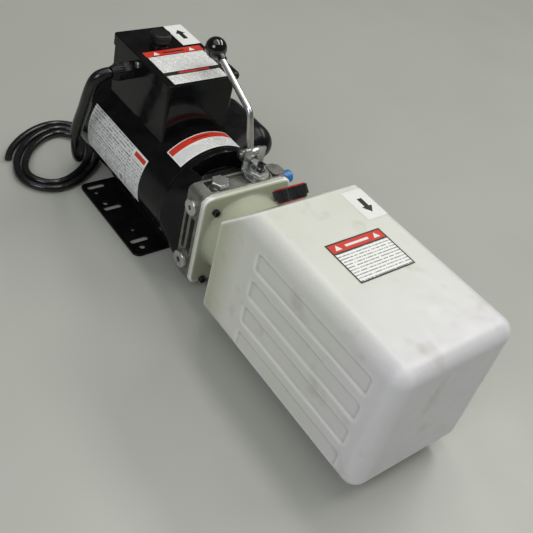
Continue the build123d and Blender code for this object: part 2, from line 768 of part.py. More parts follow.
with BuildPart() as driven_gear:
    with BuildSketch(across(pocket_back + gear_running_gap)):
        with Locations((0, driven_drop)):
            add(gear_profile(90 + 180 / gear_teeth))
    extrude(amount=pocket_front - pocket_back - 2 * gear_running_gap)
    with BuildSketch(across(175.5)):
        with Locations((0, driven_drop)):
            Circle(journal_radius)
    extrude(amount=209 - 175.5)
write(driven_gear.part, "driven_gear")

journal_gap = 0.04
with BuildPart() as pump_housing:
    with BuildSketch(across_world(block_front)):
        with Locations((0, pump_mid_z)):
            RectangleRounded(2 * pump_half_width, 2 * pump_half_height, 10)
            with GridLocations(40, 60, 2, 2):
                Circle(3.2, mode=Mode.SUBTRACT)
    extrude(amount=pocket_front - block_front)
    with BuildSketch(across(pocket_back)):
        with Locations((0, 0), (0, driven_drop)):
            Circle(tip_radius + 0.06)
    extrude(amount=pocket_front - pocket_back, mode=Mode.SUBTRACT)
    with BuildSketch(across(block_front + 1)):
        with Locations((0, driven_drop)):
            Circle(journal_radius + journal_gap)
    extrude(amount=pocket_back - block_front, mode=Mode.SUBTRACT)
    with BuildSketch(across(block_front)):
        Circle(journal_radius + journal_gap)
    extrude(amount=pocket_back - block_front, mode=Mode.SUBTRACT)
    # inlet and outlet chambers at both sides of the mesh
    with BuildSketch(across(pocket_back)):
        with Locations((0, driven_drop / 2)):
            RectangleRounded(26, 10, 3)
    extrude(amount=pocket_front - pocket_back, mode=Mode.SUBTRACT)
write(pump_housing.part, "pump_housing")

suction_y, suction_z = 17.0, pump_mid_z
with BuildPart() as pump_cover:
    with BuildSketch(across_world(pocket_front)):
        with Locations((0, pump_mid_z)):
            RectangleRounded(2 * pump_half_width, 2 * pump_half_height, 10)
            with GridLocations(40, 60, 2, 2):
                Circle(3.2, mode=Mode.SUBTRACT)
    extrude(amount=pump_front - pocket_front)
    with BuildSketch(across(pocket_front)):
        with Locations((0, 0), (0, driven_drop)):
            Circle(journal_radius + journal_gap)
    extrude(amount=12.5, mode=Mode.SUBTRACT)
    with BuildSketch(across_world(pump_front - 5)):
        with Locations((suction_y, suction_z)):
            Circle(6)
    extrude(amount=5, mode=Mode.SUBTRACT)
    with BuildSketch(across_world(pocket_front)):
        with Locations((10, suction_z)):
            Circle(2.6)
    extrude(amount=9, mode=Mode.SUBTRACT)
    with BuildSketch(across_world(pocket_front + 6)):
        with Locations((13, suction_z)):
            Rectangle(10, 5)
    extrude(amount=4, mode=Mode.SUBTRACT)
write(pump_cover.part, "pump_cover")

with BuildPart() as pump_bolts:
    with BuildSketch(across_world(block_front - 6)):
        with Locations((0, pump_mid_z)):
            with GridLocations(40, 60, 2, 2):
                Circle(3)
    extrude(amount=pump_front - block_front + 6)
    with BuildSketch(across_world(pump_front)):
        with Locations((0, pump_mid_z)):
            with GridLocations(40, 60, 2, 2):
                Circle(5)
                RegularPolygon(2.5, 6, major_radius=False, mode=Mode.SUBTRACT)
    extrude(amount=6)
write(pump_bolts.part, "pump_bolts")

strainer_start, strainer_end = 470.0, 512.0
with BuildPart() as suction_tube:
    with BuildSketch(across_world(pump_front - 5)):
        with Locations((suction_y, suction_z)):
            Circle(6)
            Circle(4.6, mode=Mode.SUBTRACT)
    extrude(amount=strainer_start + 10 - pump_front + 5)
write(suction_tube.part, "suction_tube")

with BuildPart() as suction_strainer:
    with BuildSketch(across_world(strainer_start)):
        with Locations((suction_y, suction_z)):
            Circle(22)
    extrude(amount=strainer_end - strainer_start)
    fillet(suction_strainer.faces().sort_by(Axis.X)[-1].edges(), 4)
    with BuildSketch(across_world(strainer_start + 3)):
        with Locations((suction_y, suction_z)):
            with PolarLocations(22.5, 18):
                Circle(1.6, mode=Mode.ADD)
    extrude(amount=strainer_end - strainer_start - 10, mode=Mode.SUBTRACT)
    with BuildSketch(across_world(strainer_start)):
        with Locations((suction_y, suction_z)):
            Circle(6)
    extrude(amount=10, mode=Mode.SUBTRACT)
    with BuildSketch(across_world(strainer_start + 10)):
        with Locations((suction_y, suction_z)):
            Circle(16)
    extrude(amount=strainer_end - strainer_start - 14, mode=Mode.SUBTRACT)
write(suction_strainer.part, "suction_strainer")

with BuildPart() as return_tube:
    with BuildSketch(across_world(block_front - 5)):
        with Locations((-42, axis_z)):
            Circle(5)
            Circle(3.8, mode=Mode.SUBTRACT)
    extrude(amount=250)
write(return_tube.part, "return_tube")

# ---- plugs, relief valve and check valve --------------------------------------------------------
with BuildPart() as hex_plug:
    with BuildSketch(Plane.XY.offset(140)):
        with Locations((hex_x, hex_y)):
            Circle(6.5)
    extrude(amount=block_top - 2 - 140)
    with BuildSketch(Plane.XY.offset(block_top - 2)):
        with Locations((hex_x, hex_y)):
            Circle(11.2)
    extrude(amount=1.2)
    with BuildSketch(Plane.XY.offset(block_top - 0.8)):
        with Locations((hex_x, hex_y)):
            RegularPolygon(11, 6, major_radius=False, rotation=30)
    extrude(amount=7.5)
    chamfer(hex_plug.faces().sort_by(Axis.Z)[-1].edges(), 0.8)
write(hex_plug.part, "hex_plug")

with BuildPart() as upper_plug:
    with BuildSketch(from_side(-58, side_bore_x, check_z)):
        Circle(side_bore_radius)
    extrude(amount=13)
    with BuildSketch(from_side(-71, side_bore_x, check_z)):
        Circle(11.5)
    extrude(amount=3)
    chamfer(upper_plug.faces().sort_by(Axis.Y)[0].edges(), 0.8)
    with BuildSketch(from_side(-68, side_bore_x, check_z)):
        RegularPolygon(3, 6, major_radius=False)
    extrude(amount=8, mode=Mode.SUBTRACT)
write(upper_plug.part, "upper_plug")

with BuildPart() as plug_washer:
    with BuildSketch(from_side(-block_half_width - 1.5, side_bore_x, relief_z)):
        Circle(11.5)
        Circle(side_bore_radius, mode=Mode.SUBTRACT)
    extrude(amount=1.8)
write(plug_washer.part, "plug_washer")

with BuildPart() as lower_plug:
    with BuildSketch(from_side(-63, side_bore_x, relief_z)):
        Circle(side_bore_radius)
    extrude(amount=10.3)
    with BuildSketch(from_side(-73.3, side_bore_x, relief_z)):
        Circle(12.5)
    extrude(amount=4)
    chamfer(lower_plug.faces().sort_by(Axis.Y)[0].edges(), 0.8)
    with BuildSketch(from_side(-70, side_bore_x, relief_z)):
        RegularPolygon(4, 6, major_radius=False)
    extrude(amount=9, mode=Mode.SUBTRACT)
write(lower_plug.part, "lower_plug")

with BuildPart() as port_plug:
    with BuildSketch(Plane(origin=(port_x, 60, port_z), z_dir=(0, 1, 0))):
        Circle(side_bore_radius)
    extrude(amount=block_half_width - 60)
    with BuildSketch(Plane(origin=(port_x, block_half_width, port_z), z_dir=(0, 1, 0))):
        Circle(9)
    extrude(amount=18)
    fillet(port_plug.faces().sort_by(Axis.Y)[-1].edges(), 3)
write(port_plug.part, "port_plug")


def coil_spring(start_plane, mean_radius, wire_radius, length, turns):
    """Round-wire spring that starts on a plane and grows along its normal."""
    pitch = (length - 2 * wire_radius) / turns
    lifted = start_plane.offset(wire_radius)
    helix = lifted.location * Helix(pitch, pitch * turns, mean_radius)
    with BuildPart() as spring:
        with BuildSketch(Plane(origin=helix @ 0, z_dir=helix % 0)):
            Circle(wire_radius)
        sweep(path=helix, is_frenet=True)
    return spring.part


ball_y = -37.6
with BuildPart() as check_ball:
    with Locations((side_bore_x, ball_y, check_z)):
        Sphere(5)
write(check_ball.part, "check_ball")

check_spring = coil_spring(from_side(-42.0, side_bore_x, check_z), 3.6, 0.5, 16.0, 6)
write(check_spring, "check_spring")

poppet_tip_y = -22.0
with BuildPart() as relief_poppet:
    with BuildSketch(from_side(poppet_tip_y, side_bore_x, relief_z)):
        Circle(1.75)
    with BuildSketch(from_side(-27.4, side_bore_x, relief_z)):
        Circle(5)
    loft()
    with BuildSketch(from_side(-27.4, side_bore_x, relief_z)):
        Circle(5)
    extrude(amount=4.6)
    with BuildSketch(from_side(-32, side_bore_x, relief_z)):
        Circle(2.6)
    extrude(amount=6)
write(relief_poppet.part, "relief_poppet")

relief_spring = coil_spring(from_side(-32.0, side_bore_x, relief_z), 4.4, 0.9, 22.0, 7)
write(relief_spring, "relief_spring")

with BuildPart() as relief_screw:
    with BuildSketch(from_side(-54, side_bore_x, relief_z)):
        Circle(side_bore_radius)
    extrude(amount=8)
    with BuildSketch(from_side(-57, side_bore_x, relief_z)):
        RegularPolygon(3, 6, major_radius=False)
    extrude(amount=6, mode=Mode.SUBTRACT)
write(relief_screw.part, "relief_screw")

# ---- release valve and its lever ------------------------------------------------------------------
valve_axis = Axis((valve_x, valve_y, 0), (0, 0, 1))
valve_plane = Plane(origin=(valve_x, valve_y, 0), x_dir=(1, 0, 0), z_dir=(0, -1, 0))
plate_top = boss_top + 3
nut_top = plate_top + 5

with BuildPart() as valve_cartridge:
    with BuildSketch(valve_plane):
        with BuildLine():
            Polyline(
                (2.0, 122), (8, 122), (8, nut_top + 0.5), (4.1, nut_top + 0.5),
                (4.1, 140), (6.2, 140), (6.2, 124), (2.0, 124),
                close=True,
            )
        make_face()
    revolve(axis=valve_axis)
write(valve_cartridge.part, "valve_cartridge")

collar_top, head_bottom, head_top = 169.8, 173.6, 177.0
with BuildPart() as valve_stem:
    with BuildSketch(valve_plane):
        with BuildLine():
            Polyline(
                (0, 124.1), (3, 124.1), (3, 126.5), (5.9, 126.5), (5.9, 129), (4, 129),
                (4, collar_top), (2.5, collar_top), (2.5, head_bottom), (4.5, head_bottom),
                (4.5, head_top), (0, head_top),
                close=True,
            )
        make_face()
    revolve(axis=valve_axis)
    with BuildSketch(Plane.XY.offset(head_top - 2.5)):
        with Locations((valve_x, valve_y)):
            RegularPolygon(2.5, 6, major_radius=False)
    extrude(amount=3, mode=Mode.SUBTRACT)
write(valve_stem.part, "valve_stem")

valve_spring = coil_spring(Plane(origin=(valve_x, valve_y, 129)), 5.1, 0.5, 10.9, 4)
write(valve_spring, "valve_spring")

with BuildPart() as valve_nut:
    with BuildSketch(Plane.XY.offset(plate_top)):
        with Locations((valve_x, valve_y)):
            RegularPolygon(12, 6, major_radius=False, rotation=30)
            Circle(8, mode=Mode.SUBTRACT)
    extrude(amount=nut_top - plate_top)
    chamfer(valve_nut.faces().sort_by(Axis.Z)[-1].outer_wire().edges(), 0.7)
write(valve_nut.part, "valve_nut")

web_x, web_thickness = 143.0, 3.0
web_half_width, web_top = 17.0, 190.0
fork_slot = 12.0
with BuildPart() as lever_bracket:
    with BuildSketch(Plane.XY.offset(boss_top)):
        with Locations((valve_x, valve_y)):
            Circle(12.5)
        with BuildLine():
            Polyline(
                (web_x, valve_y - web_half_width),
                (web_x, valve_y + web_half_width),
                (web_x + 6, valve_y + web_half_width),
                (valve_x + 2, valve_y + 12.3),
                (valve_x + 2, valve_y - 12.3),
                (web_x + 6, valve_y - web_half_width),
                close=True,
            )
        make_face()
        with Locations((valve_x, valve_y)):
            Circle(8, mode=Mode.SUBTRACT)
    extrude(amount=plate_top - boss_top)
    # forked upright with both sides bent back into ears
    with BuildSketch(across_world(web_x)):
        with Locations((valve_y, (boss_top + web_top) / 2)):
            RectangleRounded(2 * web_half_width, web_top - boss_top, 2)
        with Locations((valve_y, plate_top)):
            Rectangle(2 * web_half_width, 6)
        with Locations((valve_y, boss_top + 24 + 3)):
            Rectangle(fork_slot, 40, mode=Mode.SUBTRACT)
        with Locations((valve_y, boss_top - 10)):
            Rectangle(60, 20, mode=Mode.SUBTRACT)
    extrude(amount=web_thickness)
    for side in (1, -1):
        ear_y = valve_y + side * (web_half_width - web_thickness / 2)
        with BuildSketch(Plane(origin=(0, ear_y, 0), x_dir=(1, 0, 0), z_dir=(0, -1, 0))):
            with Locations((pivot_x, pivot_z)):
                Circle(6.5)
            with Locations(((pivot_x + web_x) / 2 + 1, pivot_z)):
                Rectangle(web_x - pivot_x + 2, 13)
        extrude(amount=web_thickness / 2, both=True)
    with BuildSketch(Plane(origin=(0, valve_y, 0), x_dir=(1, 0, 0), z_dir=(0, -1, 0))):
        with Locations((pivot_x, pivot_z)):
            Circle(3)
    extrude(amount=40, both=True, mode=Mode.SUBTRACT)
write(lever_bracket.part, "lever_bracket")

pin_plane = Plane(origin=(pivot_x, valve_y, pivot_z), x_dir=(1, 0, 0), z_dir=(0, -1, 0))
with BuildPart() as lever_pin:
    with BuildSketch(pin_plane):
        Circle(3)
    extrude(amount=web_half_width + 1, both=True)
    for side in (1, -1):
        with BuildSketch(pin_plane.offset(side * (web_half_width + 1) - (0 if side > 0 else 1.0))):
            Circle(4)
        extrude(amount=1.0)
    with BuildSketch(pin_plane.offset(web_half_width)):
        Circle(4)
    extrude(amount=1)
write(lever_pin.part, "lever_pin")

hub_half_width, hub_radius = 13.6, 6.5
toe_bottom, toe_thickness = 170.5, 2.4
rod_end_fraction = 1 - 3.0 / sqrt((bend_x - knob_x) ** 2 + (knob_z - bend_z) ** 2)
rod_end = (
    bend_x + (knob_x - bend_x) * rod_end_fraction,
    valve_y,
    bend_z + (knob_z - bend_z) * rod_end_fraction,
)
with BuildPart() as release_lever:
    with BuildSketch(pin_plane):
        Circle(hub_radius)
    extrude(amount=hub_half_width, both=True)
    with BuildLine() as rod_path:
        FilletPolyline(
            (pivot_x, valve_y, pivot_z),
            (bend_x, valve_y, bend_z),
            rod_end,
            radius=16,
        )
    with BuildSketch(Plane(origin=rod_path.line @ 0, z_dir=rod_path.line % 0)):
        Circle(rod_radius)
    sweep(path=rod_path.line)
    # forked toe that holds the neck of the valve stem
    with BuildSketch(Plane.XY.offset(toe_bottom)):
        with Locations(((pivot_x + valve_x + 5) / 2, valve_y)):
            RectangleRounded(valve_x + 5 - pivot_x, 10.6, 1.5)
        with Locations((valve_x + 2, valve_y)):
            Rectangle(10, 5.8, mode=Mode.SUBTRACT)
        with Locations((valve_x - 3, valve_y)):
            Circle(2.9, mode=Mode.SUBTRACT)
    extrude(amount=toe_thickness)
    with BuildSketch(pin_plane):
        Circle(3.05)
    extrude(amount=hub_half_width + 2, both=True, mode=Mode.SUBTRACT)
write(release_lever.part, "release_lever")

rod_direction = Vector(knob_x - bend_x, 0, knob_z - bend_z).normalized()
knob_plane = Plane(origin=(knob_x, valve_y, knob_z), z_dir=tuple(rod_direction))
with BuildPart() as lever_knob:
    with Locations(knob_plane):
        Sphere(knob_radius)
    with BuildSketch(knob_plane.offset(-knob_radius - 5)):
        Circle(6.5)
        Circle(rod_radius, mode=Mode.SUBTRACT)
    extrude(amount=8)
    with BuildSketch(knob_plane.offset(-knob_radius - 5)):
        Circle(rod_radius)
    extrude(amount=knob_radius + 2, mode=Mode.SUBTRACT)
write(lever_knob.part, "lever_knob")

# ---- oil tank -----------------------------------------------------------------------------------------
filler_x = tank_back + facet_size / 2
filler_z = tank_top - facet_size / 2
filler_plane = Plane(origin=(filler_x, 0, filler_z), x_dir=(0, 1, 0), z_dir=(-1, 0, 1))
neck_outer, neck_inner, neck_height = 16.0, 12.5, 11.0


def tank_form(inset):
    """Closed form of the tank, smaller by an inset on every side."""
    half_width = tank_half_width - inset
    low, high = tank_bottom + inset, tank_top - inset
    back, end = tank_back + inset, tank_end - inset
    facet = facet_size - inset * (2 - sqrt(2))
    with BuildPart() as form:
        with BuildSketch(from_side(half_width + tank_draft, 0, 0)):
            with BuildLine():
                Polyline(
                    (back, low), (end, low), (end, high),
                    (back + facet, high), (back, high - facet),
                    close=True,
                )
            make_face()
        extrude(amount=2 * half_width + 2 * tank_draft)
        # both sides spread from the shoulder to the closed end
        with BuildSketch(Plane.XY.offset(low)):
            with BuildLine():
                Polyline(
                    (back, half_width), (back + facet, half_width), (end, half_width + tank_draft),
                    (end, -half_width - tank_draft), (back + facet, -half_width), (back, -half_width),
                    close=True,
                )
            make_face()
        extrude(amount=high - low, mode=Mode.INTERSECT)
        straight_edges = form.edges().filter_by(GeomType.LINE)
        long_edges = straight_edges.filter_by(lambda edge: abs(edge.tangent_at(0).X) > 0.98)
        end_edges = form.faces().sort_by(Axis.X)[-1].edges()
        fillet(long_edges + end_edges, tank_edge - inset)
        # pressed panels stiffen both sides
        middle = (panel_rear + panel_front) / 2
        run = end - back - facet
        wall_y = half_width + tank_draft * (middle - back - facet) / run
        for side in (1, -1):
            for number in range(panel_count):
                panel_z = panel_first_z - panel_pitch * number + panel_height / 2
                wall = Plane(origin=(middle, side * wall_y, panel_z), x_dir=(run, side * tank_draft, 0),
                             z_dir=(-tank_draft, side * run, 0))
                with BuildSketch(wall.offset(1)):
                    panel_length = panel_front - panel_rear
                    RectangleRounded(panel_length + 2 * inset, panel_height + 2 * inset, 5 + inset)
                extrude(amount=-panel_depth - 1, mode=Mode.SUBTRACT)
    return form.part


with BuildPart() as tank:
    add(tank_form(0))
    with BuildSketch(across(flange_front - 1)):
        Circle(neck_radius)
    extrude(amount=tank_back - flange_front + 3)
    with BuildSketch(across_world(block_front)):
        with Locations((0, block_mid_z)):
            RectangleRounded(2 * block_half_width, block_top - block_bottom, 12)
    extrude(amount=flange_front - block_front)
    flange_face = tank.faces().filter_by(Axis.X).group_by(Axis.X)[1].sort_by(SortBy.AREA)[-1]
    fillet(flange_face.outer_wire().edges(), 2)
    with BuildSketch(filler_plane.offset(-2)):
        Circle(neck_outer)
    extrude(amount=neck_height + 2)
    add(tank_form(tank_wall), mode=Mode.SUBTRACT)
    with BuildSketch(across(block_front)):
        Circle(neck_bore)
    extrude(amount=tank_back + 5 - block_front, mode=Mode.SUBTRACT)
    with BuildSketch(filler_plane.offset(-8)):
        Circle(neck_inner)
    extrude(amount=neck_height + 8, mode=Mode.SUBTRACT)
    # groove for the seal and counterbored screw holes in the flange
    with BuildSketch(across(block_front)):
        Circle(neck_bore + 6)
        Circle(neck_bore + 3, mode=Mode.SUBTRACT)
    extrude(amount=2.5, mode=Mode.SUBTRACT)
    for z in (tank_screw_low, tank_screw_high):
        for y in (tank_screw_y, -tank_screw_y):
            with BuildSketch(across_world(block_front)):
                with Locations((y, z)):
                    Circle(3.3)
            extrude(amount=flange_front - block_front, mode=Mode.SUBTRACT)
write(tank.part, "tank")

with BuildPart() as tank_seal:
    with BuildSketch(across(block_front)):
        Circle(neck_bore + 6)
        Circle(neck_bore + 3, mode=Mode.SUBTRACT)
    extrude(amount=2.5)
write(tank_seal.part, "tank_seal")

with BuildPart() as tank_screws:
    for z in (tank_screw_low, tank_screw_high):
        for y in (tank_screw_y, -tank_screw_y):
            with BuildSketch(across_world(block_front - 6)):
                with Locations((y, z)):
                    Circle(3)
            extrude(amount=flange_front - block_front + 6)
            with BuildSketch(across_world(flange_front)):
                with Locations((y, z)):
                    Circle(5)
                    RegularPolygon(2.5, 6, major_radius=False, mode=Mode.SUBTRACT)
            extrude(amount=5)
write(tank_screws.part, "tank_screws")

cap_radius, collar_radius, liner_radius = 21.5, 19.0, 17.6
cap_bottom, collar_top, cap_top = 2.0, 6.0, 18.0
with BuildPart() as cap_gasket:
    with BuildSketch(filler_plane.offset(neck_height + 0.05)):
        Circle(neck_outer - 0.2)
        Circle(neck_inner, mode=Mode.SUBTRACT)
    extrude(amount=1.5)
write(cap_gasket.part, "cap_gasket")

with BuildPart() as cap_liner:
    with BuildSketch(filler_plane.offset(cap_bottom)):
        Circle(liner_radius)
        Circle(neck_outer + 0.3, mode=Mode.SUBTRACT)
    extrude(amount=cap_top - cap_bottom)
    with BuildSketch(filler_plane.offset(neck_height + 1.6)):
        Circle(liner_radius)
    extrude(amount=cap_top - neck_height - 1.6)
    # red disc that shows above the black skirt
    with BuildSketch(filler_plane.offset(cap_top)):
        Circle(cap_radius - 2)
    extrude(amount=1.5)
write(cap_liner.part, "cap_liner")

with BuildPart() as filler_cap:
    with BuildSketch(filler_plane.offset(cap_bottom + 1)):
        Circle(collar_radius)
        Circle(liner_radius, mode=Mode.SUBTRACT)
    extrude(amount=collar_top - cap_bottom - 1)
    with BuildSketch(filler_plane.offset(collar_top)):
        Circle(cap_radius)
        with PolarLocations(cap_radius, 36):
            Circle(0.8, mode=Mode.SUBTRACT)
        Circle(liner_radius, mode=Mode.SUBTRACT)
    extrude(amount=cap_top - collar_top)
write(filler_cap.part, "filler_cap")
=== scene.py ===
import json
from math import ceil, cos, pi, radians, sin, sqrt

import bmesh
import bpy
from mathutils import Matrix, Vector

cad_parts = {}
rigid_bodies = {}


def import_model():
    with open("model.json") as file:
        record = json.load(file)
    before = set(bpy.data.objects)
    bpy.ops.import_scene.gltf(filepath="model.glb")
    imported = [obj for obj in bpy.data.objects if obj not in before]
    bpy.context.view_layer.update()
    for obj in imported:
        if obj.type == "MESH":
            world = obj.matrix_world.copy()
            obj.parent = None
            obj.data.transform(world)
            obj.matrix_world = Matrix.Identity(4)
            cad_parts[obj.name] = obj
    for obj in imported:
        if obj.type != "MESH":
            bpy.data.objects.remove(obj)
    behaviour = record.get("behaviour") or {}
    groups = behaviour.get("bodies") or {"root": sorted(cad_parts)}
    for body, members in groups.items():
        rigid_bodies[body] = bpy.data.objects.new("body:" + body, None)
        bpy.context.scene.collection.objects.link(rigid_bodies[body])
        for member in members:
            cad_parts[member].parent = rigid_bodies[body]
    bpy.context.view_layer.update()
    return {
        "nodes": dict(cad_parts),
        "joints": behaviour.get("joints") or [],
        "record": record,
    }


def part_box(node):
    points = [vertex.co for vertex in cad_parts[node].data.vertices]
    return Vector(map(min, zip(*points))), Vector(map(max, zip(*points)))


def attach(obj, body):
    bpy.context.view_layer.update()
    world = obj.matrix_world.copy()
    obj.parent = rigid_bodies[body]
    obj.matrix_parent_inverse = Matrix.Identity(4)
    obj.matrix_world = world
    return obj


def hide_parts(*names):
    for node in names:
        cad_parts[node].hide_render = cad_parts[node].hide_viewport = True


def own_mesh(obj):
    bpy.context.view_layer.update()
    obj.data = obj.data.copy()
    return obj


# Looks of the hydraulic power unit. Lengths are metres, apart from label outlines and names that end
# in _mm or _MM, which are millimetres.

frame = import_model()
nodes = frame["nodes"]
MM = 0.001
INK_STRENGTH = 0.75
FILL_STRENGTH = 0.52
SHEET_UNDER_MM, SHEET_OVER_MM, PRINT_STEP_MM = -0.12, 0.14, 0.035
TANK_ROUND = 0.017


# ---- material building blocks ---------------------------------------------------------------
class Shader:
    """A material's node tree, with short calls for the nodes used here."""

    def __init__(self, name):
        self.material = bpy.data.materials.new(name)
        self.material.use_nodes = True
        self.tree = self.material.node_tree
        self.surface = self.tree.nodes["Principled BSDF"]
        self.place = self.node("ShaderNodeTexCoord").outputs["Object"]

    def node(self, kind, inputs=None, **settings):
        made = self.tree.nodes.new(kind)
        for key, value in settings.items():
            setattr(made, key, value)
        for key, value in (inputs or {}).items():
            self.feed(made.inputs[key], value)
        return made

    def feed(self, socket, value):
        if isinstance(value, bpy.types.NodeSocket):
            self.tree.links.new(value, socket)
        else:
            socket.default_value = value

    def math(self, operation, a, b=0.0, clamp=False):
        return self.node("ShaderNodeMath", {0: a, 1: b}, operation=operation, use_clamp=clamp).outputs[0]

    def noise(self, scale, detail=3.0, stretch=(1, 1, 1)):
        spread = self.node("ShaderNodeVectorMath", {0: self.place, 1: stretch}, operation="MULTIPLY")
        made = self.node("ShaderNodeTexNoise", {"Vector": spread.outputs[0], "Scale": scale, "Detail": detail})
        return made.outputs[0]

    def spread(self, value, low, high, out_low=0.0, out_high=1.0):
        """Maps a value from one span to another, clamped."""
        return self.node("ShaderNodeMapRange", {
            "Value": value, "From Min": low, "From Max": high, "To Min": out_low, "To Max": out_high,
        }).outputs[0]

    def mix(self, factor, first, second):
        made = self.node("ShaderNodeMix", data_type="RGBA")
        self.feed(made.inputs[0], factor)
        self.feed(made.inputs[6], first)
        self.feed(made.inputs[7], second)
        return made.outputs[2]

    def round_edges(self, radius):
        return self.node("ShaderNodeBevel", {"Radius": radius}, samples=4).outputs[0]

    def edge_mask(self, rounded):
        """High along sharp outer and inner edges, zero on faces."""
        flat = self.node("ShaderNodeNewGeometry").outputs["Normal"]
        facing = self.node("ShaderNodeVectorMath", {0: rounded, 1: flat}, operation="DOT_PRODUCT")
        return self.spread(facing.outputs["Value"], 0.995, 0.85)

    def bump(self, height, distance, strength=1.0, normal=None):
        inputs = {"Height": height, "Distance": distance, "Strength": strength}
        if normal is not None:
            inputs["Normal"] = normal
        return self.node("ShaderNodeBump", inputs).outputs[0]

    def finish(self, **inputs):
        """Feeds the principled surface; underscores stand for spaces."""
        for key, value in inputs.items():
            self.feed(self.surface.inputs[key.replace("_", " ")], value)
        return self.material


def rgb(red, green, blue):
    return (red, green, blue, 1.0)


def make_finish(name, dark, light, roughness, metallic=0.0, patch=45.0, grain=700.0, grain_depth=0.03,
                wave_depth=0.0, edge=0.5, worn=None, coat=0.0, specular=0.5, stretch=(1, 1, 1)):
    """General finish: patchy colour and gloss, fine grain, rounded edges and worn corners.

    Depths and the edge radius are in millimetres, patch and grain in features per metre.
    """
    shader = Shader(name)
    patches = shader.noise(patch, 5.0, stretch)
    fine = shader.noise(grain, 2.0, stretch)
    colour = shader.mix(shader.spread(patches, 0.35, 0.7), dark, light)
    rounded = shader.round_edges(edge * MM)
    if worn is not None:
        speckle = shader.spread(shader.noise(220.0, 4.0), 0.42, 0.62)
        wear = shader.math("MULTIPLY", shader.edge_mask(rounded), speckle)
        colour = shader.mix(wear, colour, worn)
    normal = shader.bump(fine, grain_depth * MM, 1.0, rounded)
    if wave_depth:
        normal = shader.bump(shader.noise(14.0, 2.0), wave_depth * MM, 1.0, normal)
    gloss = shader.spread(shader.noise(patch * 1.7, 6.0, stretch), 0.3, 0.7, roughness[0], roughness[1])
    return shader.finish(Base_Color=colour, Roughness=gloss, Metallic=metallic, Normal=normal, Coat_Weight=coat,
                         Coat_Roughness=roughness[0] * 0.5, Specular_IOR_Level=specular)


def make_polyethylene():
    """Blow-moulded natural polyethylene: cloudy, slightly wavy, with handling smudges; darker and yellower towards
    the neck and flange; painted light as a cool tint towards the closed end, painted highlights on convex edges and
    painted shade in hollows.
    """
    shader = Shader("polyethylene")
    cloud = shader.spread(shader.noise(9.0, 3.0), 0.3, 0.7)
    smudge = shader.spread(shader.noise(26.0, 2.5), 0.60, 0.80)
    along = shader.node("ShaderNodeSeparateXYZ", {0: shader.place}).outputs[0]
    colour = shader.mix(cloud, rgb(0.63, 0.64, 0.57), rgb(0.69, 0.695, 0.635))
    colour = shader.mix(shader.spread(along, 0.285, 0.245), colour, rgb(0.46, 0.47, 0.36))
    colour = shader.mix(shader.spread(along, 0.24, 0.22), colour, rgb(0.40, 0.42, 0.31))
    # Painted cool shade: a lilac tint towards the closed end stands for the cool light on its shaded end face.
    colour = shader.mix(shader.spread(along, 0.40, 0.56, 0.0, 0.7), colour, rgb(0.63, 0.60, 0.68))
    colour = shader.mix(shader.math("MULTIPLY", smudge, 0.55), colour, rgb(0.38, 0.37, 0.31))
    # Painted light: lighter along convex edges as a painted highlight, darker in hollows and creases as painted
    # shade.
    pointiness_for_painted_light = shader.node("ShaderNodeNewGeometry").outputs["Pointiness"]
    colour = shader.mix(shader.spread(pointiness_for_painted_light, 0.50, 0.54), colour, rgb(0.86, 0.86, 0.88))
    colour = shader.mix(shader.spread(pointiness_for_painted_light, 0.50, 0.46, 0.0, 0.7), colour, rgb(0.40, 0.40, 0.38))
    waves = shader.bump(shader.noise(18.0, 2.0), 0.9 * MM)
    grain = shader.bump(shader.noise(1500.0, 2.0), 0.02 * MM, 1.0, waves)
    gloss = shader.spread(shader.noise(60.0, 4.0), 0.3, 0.7, 0.30, 0.46)
    shader.surface.subsurface_method = "RANDOM_WALK"
    return shader.finish(Base_Color=colour, Roughness=gloss, Normal=grain, Subsurface_Weight=0.35,
                         Subsurface_Radius=(1.0, 0.95, 0.8), Subsurface_Scale=0.012, IOR=1.5)


def make_paper(name, colour, roughness=0.42):
    """Printed vinyl sheet in one ink, with a faint mottle and satin gloss."""
    shader = Shader(name)
    mottle = shader.spread(shader.noise(260.0, 4.0), 0.3, 0.7, 0.94, 1.0)
    tinted = shader.node("ShaderNodeVectorMath", {0: colour[:3], "Scale": mottle}, operation="SCALE").outputs[0]
    normal = shader.bump(shader.noise(500.0, 2.0), 0.01 * MM)
    gloss = shader.spread(shader.noise(90.0, 3.0), 0.3, 0.7, roughness - 0.06, roughness + 0.08)
    return shader.finish(Base_Color=tinted, Roughness=gloss, Normal=normal, Coat_Weight=0.2)


def make_printed(name, paper, ink, line_pitch_mm, mark_mm, fill):
    """Sheet with rows of plain dashes that stand for small print. Rows follow the sheet's own map in millimetres."""
    shader = Shader(name)
    place = shader.node("ShaderNodeUVMap", uv_map="sheet").outputs[0]
    split = shader.node("ShaderNodeSeparateXYZ", {0: place})
    along = split.outputs[0]
    row_place = shader.math("DIVIDE", split.outputs[1], line_pitch_mm)
    row = shader.math("FLOOR", row_place)
    height = shader.math("FRACT", row_place)
    in_row = shader.math("COMPARE", height, 0.5)
    in_row.node.inputs[2].default_value = 0.17
    mark = shader.math("FLOOR", shader.math("DIVIDE", along, mark_mm))
    cell = shader.node("ShaderNodeCombineXYZ", {0: mark, 1: row, 2: 3.0})
    dice = shader.node("ShaderNodeTexWhiteNoise", {"Vector": cell.outputs[0]}, noise_dimensions="3D")
    present = shader.math("LESS_THAN", dice.outputs["Value"], fill)
    inked = shader.math("MULTIPLY", shader.math("MULTIPLY", in_row, present), INK_STRENGTH)
    return shader.finish(Base_Color=shader.mix(inked, paper, ink), Roughness=0.42, Coat_Weight=0.2,
                         Normal=shader.bump(shader.noise(500.0, 2.0), 0.01 * MM))


